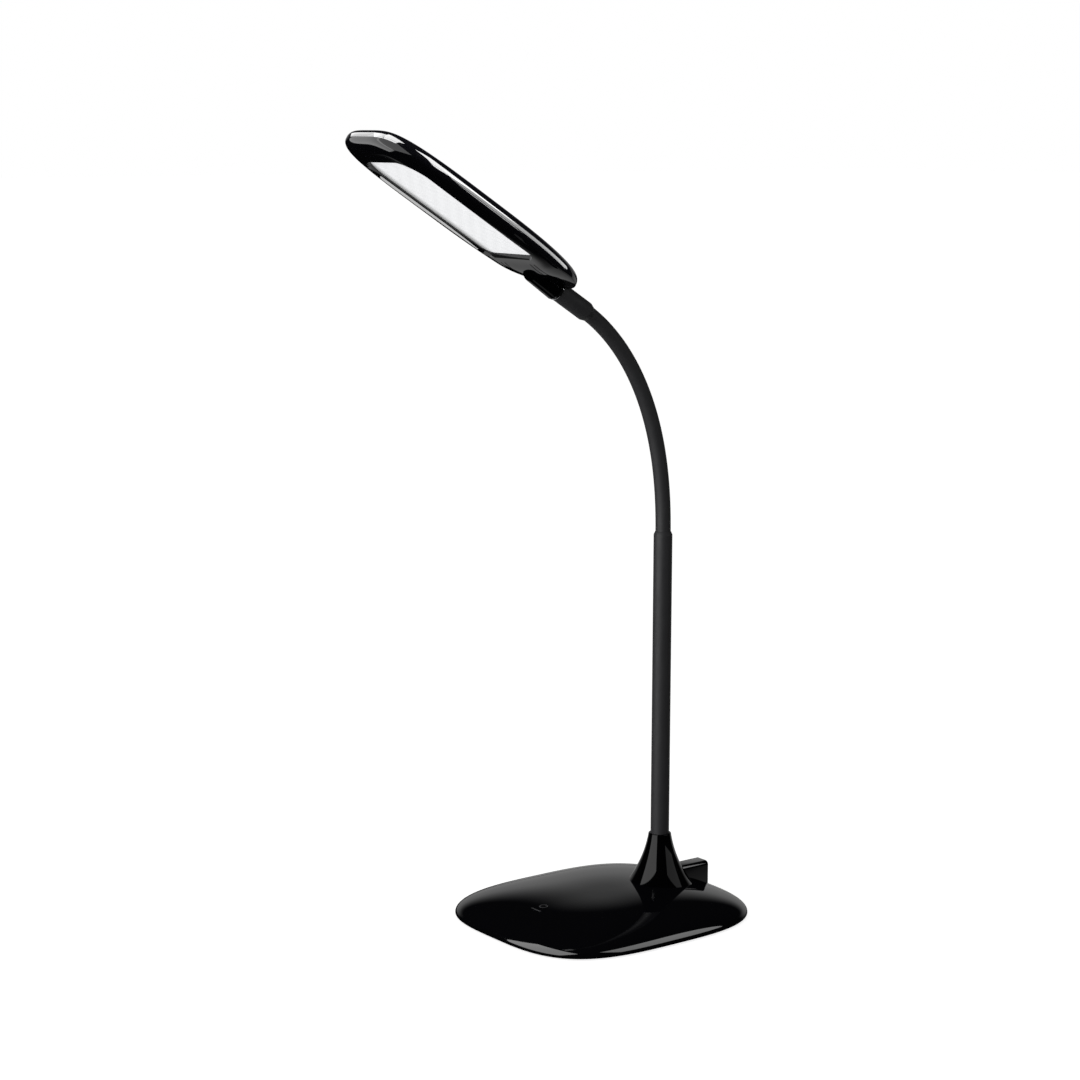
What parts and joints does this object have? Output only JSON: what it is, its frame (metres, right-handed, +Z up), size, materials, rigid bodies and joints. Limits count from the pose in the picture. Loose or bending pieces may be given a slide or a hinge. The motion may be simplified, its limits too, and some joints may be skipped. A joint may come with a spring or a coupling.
{
  "type": "gooseneck desk lamp",
  "caption": "Desk lamp with a weighted dome base, straight post, flexible neck and a long flat light head with a recessed diffuser.",
  "frame": {"origin": "centre of the base, on the desk", "axes": "+Z up, -Y towards the user, +X to the user's right"},
  "size_m": [0.145, 0.2518, 0.4703],
  "materials": {
    "gloss_black": "high gloss",
    "soft_touch": "soft-touch matte",
    "sleeve_rubber": "matte",
    "steel": "plain",
    "lead_sheath": "smooth",
    "pad_foam": "matte",
    "base_plastic": "fine texture",
    "iron": "plain",
    "board_green": "solder mask",
    "board_dark": "moulded",
    "contact": "plated",
    "bright_chrome": "polished",
    "tray_metal": "mill",
    "board_white": "solder mask",
    "led_resin": "resin",
    "opal": "opal"
  },
  "bodies": {
    "base": {"foot_pad": "pad_foam", "base_plate": "base_plastic", "plate_screws": "steel", "ballast_weight": "iron", "base_shell": "gloss_black", "control_board": "board_green", "board_parts": "board_dark", "touch_spring": "steel", "power_jack": "base_plastic", "jack_contact": "contact", "neck_collar": "gloss_black", "lamp_nipple": "steel", "spreader_washer": "steel", "nipple_nut": "steel", "post_tube": "soft_touch", "lamp_lead": "lead_sheath", "supply_lead": "lead_sheath", "neck_socket": "steel", "sleeve_root": "sleeve_rubber", "coil_root": "steel"},
    "link_1": {"sleeve_1": "sleeve_rubber", "coil_1": "steel", "lead_1": "lead_sheath"},
    "link_2": {"sleeve_2": "sleeve_rubber", "coil_2": "steel", "lead_2": "lead_sheath"},
    "link_3": {"sleeve_3": "sleeve_rubber", "coil_3": "steel", "lead_3": "lead_sheath"},
    "link_4": {"sleeve_4": "sleeve_rubber", "coil_4": "steel", "lead_4": "lead_sheath"},
    "link_5": {"sleeve_5": "sleeve_rubber", "coil_5": "steel", "lead_5": "lead_sheath"},
    "link_6": {"sleeve_6": "sleeve_rubber", "coil_6": "steel", "lead_6": "lead_sheath"},
    "link_7": {"sleeve_7": "sleeve_rubber", "coil_7": "steel", "lead_7": "lead_sheath"},
    "link_8": {"sleeve_8": "sleeve_rubber", "coil_8": "steel", "lead_8": "lead_sheath"},
    "head": {"sleeve_end": "sleeve_rubber", "coil_end": "steel", "lead_end": "lead_sheath", "head_ferrule": "soft_touch", "bright_ring": "bright_chrome", "neck_spigot": "steel", "spigot_screws": "steel", "head_cover": "gloss_black", "head_frame": "gloss_black", "led_tray": "tray_metal", "led_board": "board_white", "leds": "led_resin", "diffuser": "opal", "tray_screws": "steel"}
  },
  "joints": [
    {"name": "neck_bend_1", "type": "hinge", "parent": "base", "child": "link_1", "pos_m": [0, 0.0449, 0.24029], "axis": [1, 0, 0], "range_deg": [-26.1, 17.9]},
    {"name": "neck_bend_2", "type": "hinge", "parent": "link_1", "child": "link_2", "pos_m": [0, 0.04367, 0.25743], "axis": [1, 0, 0], "range_deg": [-25.9, 18.1]},
    {"name": "neck_turn_3", "type": "hinge", "parent": "link_2", "child": "link_3", "pos_m": [0, 0.04128, 0.27443], "axis": [0, 0.9832, 0.1827], "range_deg": [-22, 22]},
    {"name": "neck_bend_4", "type": "hinge", "parent": "link_3", "child": "link_4", "pos_m": [0, 0.03741, 0.29116], "axis": [1, 0, 0], "range_deg": [-27.7, 16.3]},
    {"name": "neck_bend_5", "type": "hinge", "parent": "link_4", "child": "link_5", "pos_m": [0, 0.03188, 0.30741], "axis": [1, 0, 0], "range_deg": [-28.4, 15.6]},
    {"name": "neck_turn_6", "type": "hinge", "parent": "link_5", "child": "link_6", "pos_m": [0, 0.02456, 0.32294], "axis": [0, 0.8762, 0.4819], "range_deg": [-22, 22]},
    {"name": "neck_bend_7", "type": "hinge", "parent": "link_6", "child": "link_7", "pos_m": [0, 0.01536, 0.33744], "axis": [1, 0, 0], "range_deg": [-29.8, 14.2]},
    {"name": "neck_bend_8", "type": "hinge", "parent": "link_7", "child": "link_8", "pos_m": [0, 0.00428, 0.35055], "axis": [1, 0, 0], "range_deg": [-29.4, 14.6]},
    {"name": "neck_turn_9", "type": "hinge", "parent": "link_8", "child": "head", "pos_m": [0, -0.00843, 0.36215], "axis": [0, 0.6046, 0.7966], "range_deg": [-22, 22]}
  ]
}
